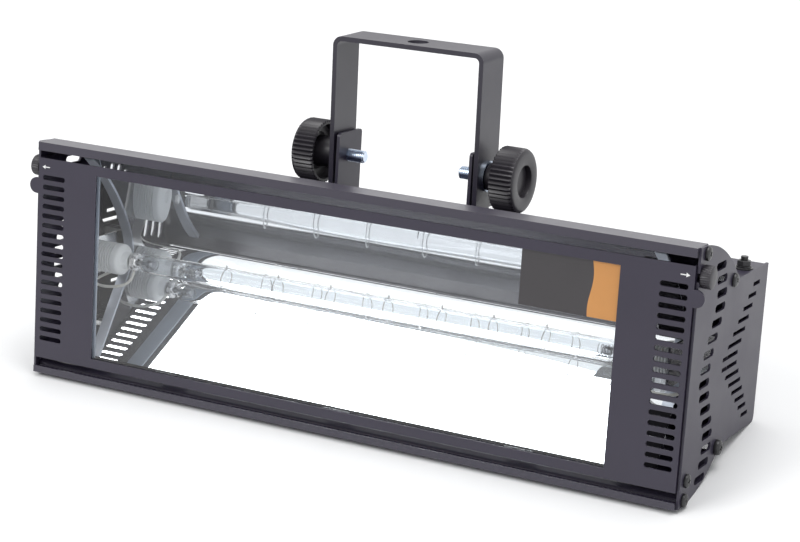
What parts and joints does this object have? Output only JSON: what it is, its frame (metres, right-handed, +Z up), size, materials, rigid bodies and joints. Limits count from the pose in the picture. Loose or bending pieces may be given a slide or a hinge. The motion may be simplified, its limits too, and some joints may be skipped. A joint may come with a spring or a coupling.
{
  "type": "xenon stroboscope",
  "caption": "D-shaped black lamp housing with a hinged glass window, trough reflector, linear flash tube, rear electronics box and tilting U yoke.",
  "frame": {"origin": "centre of the bottom of the bounding box, on the surface the lamp rests on", "axes": "+X along the lamp to its right as seen from the front, +Y to the back, +Z up; the head leans back 12.1 degrees, resting on its lower curve and lower rear edge"},
  "size_m": [0.4522, 0.1498, 0.2117],
  "materials": {
    "black_coat": "fine satin powder coat",
    "window_glass": "clear toughened float glass",
    "bright_aluminium": "bright anodised reflector sheet",
    "pale_trim": "dull anodised strip",
    "quartz": "clear fused quartz tube",
    "white_ceramic": "unglazed white steatite",
    "plain_steel": "bright steel",
    "zinc_plate": "zinc plated, faintly yellow",
    "lead_sleeve": "pale silicone sleeve",
    "black_plastic": "moulded, fine grain",
    "black_screw": "black oxide",
    "board": "solder-masked board with parts",
    "capacitor_sleeve": "shrink sleeve with bare terminals",
    "core_iron": "varnished laminations and winding",
    "coil_resin": "resin-dipped winding"
  },
  "bodies": {
    "housing": {"end_plate_left": "black_coat", "end_plate_right": "black_coat", "top_rail": "black_coat", "bottom_rail": "black_coat", "top_cover": "black_coat", "bottom_cover": "black_coat", "upper_tie_bar": "plain_steel", "lower_tie_bar": "plain_steel", "rear_cover": "black_coat", "partition": "black_coat", "reflector": "bright_aluminium", "reflector_rib_left": "pale_trim", "reflector_rib_right": "pale_trim", "reflector_spacers": "plain_steel", "flash_tube": "quartz", "electrodes": "plain_steel", "lamp_terminals": "plain_steel", "trigger_wire": "plain_steel", "insulators": "white_ceramic", "lamp_bracket_left": "plain_steel", "lamp_bracket_right": "plain_steel", "lamp_leads": "lead_sleeve", "yoke_tab_left": "black_coat", "yoke_tab_right": "black_coat", "hinge_screws": "black_screw", "control_board": "board", "capacitors": "capacitor_sleeve", "capacitor_strap": "plain_steel", "choke": "core_iron", "trigger_coil": "coil_resin", "mains_inlet": "black_plastic", "fuse_holder": "black_plastic", "remote_jack": "black_plastic", "potentiometers": "plain_steel"},
    "door": {"door_panel": "black_coat", "window_glass": "window_glass", "glass_clips": "plain_steel"},
    "yoke": {"yoke": "black_coat"},
    "knob_left": {"clamp_knob_left": "black_plastic", "clamp_stud_left": "zinc_plate"},
    "knob_right": {"clamp_knob_right": "black_plastic", "clamp_stud_right": "zinc_plate"},
    "thumb_left": {"thumbscrew_left": "black_plastic"},
    "thumb_right": {"thumbscrew_right": "black_plastic"},
    "rate": {"rate_knob": "black_plastic"},
    "level": {"level_knob": "black_plastic"},
    "fuse_cap": {"fuse_cap": "black_plastic"}
  },
  "joints": [
    {"name": "door_hinge", "type": "hinge", "parent": "housing", "child": "door", "pos_m": [0, -0.06103, 0.01537], "axis": [1, 0, 0], "range_deg": [0, 35]},
    {"name": "yoke_tilt", "type": "hinge", "parent": "housing", "child": "yoke", "pos_m": [0, 0.04162, 0.13444], "axis": [1, 0, 0], "range_deg": [-112, 43]},
    {"name": "knob_left_turn", "type": "hinge", "parent": "housing", "child": "knob_left", "pos_m": [-0.06, 0.04162, 0.13444], "axis": [1, 0, 0], "continuous": true},
    {"name": "knob_right_turn", "type": "hinge", "parent": "housing", "child": "knob_right", "pos_m": [0.06, 0.04162, 0.13444], "axis": [1, 0, 0], "continuous": true},
    {"name": "thumb_left_turn", "type": "hinge", "parent": "door", "child": "thumb_left", "pos_m": [-0.223, -0.0385, 0.13051], "axis": [1, 0, 0], "continuous": true},
    {"name": "thumb_right_turn", "type": "hinge", "parent": "door", "child": "thumb_right", "pos_m": [0.223, -0.0385, 0.13051], "axis": [1, 0, 0], "continuous": true},
    {"name": "rate_turn", "type": "hinge", "parent": "housing", "child": "rate", "pos_m": [0.025, 0.05747, 0.03795], "axis": [0, 0.9776, -0.2104], "range_deg": [-135, 135]},
    {"name": "level_turn", "type": "hinge", "parent": "housing", "child": "level", "pos_m": [-0.025, 0.05747, 0.03795], "axis": [0, 0.9776, -0.2104], "range_deg": [-135, 135]},
    {"name": "fuse_cap_turn", "type": "hinge", "parent": "housing", "child": "fuse_cap", "pos_m": [0.12, 0.05747, 0.03795], "axis": [0, 0.9776, -0.2104], "range_deg": [0, 90]}
  ]
}
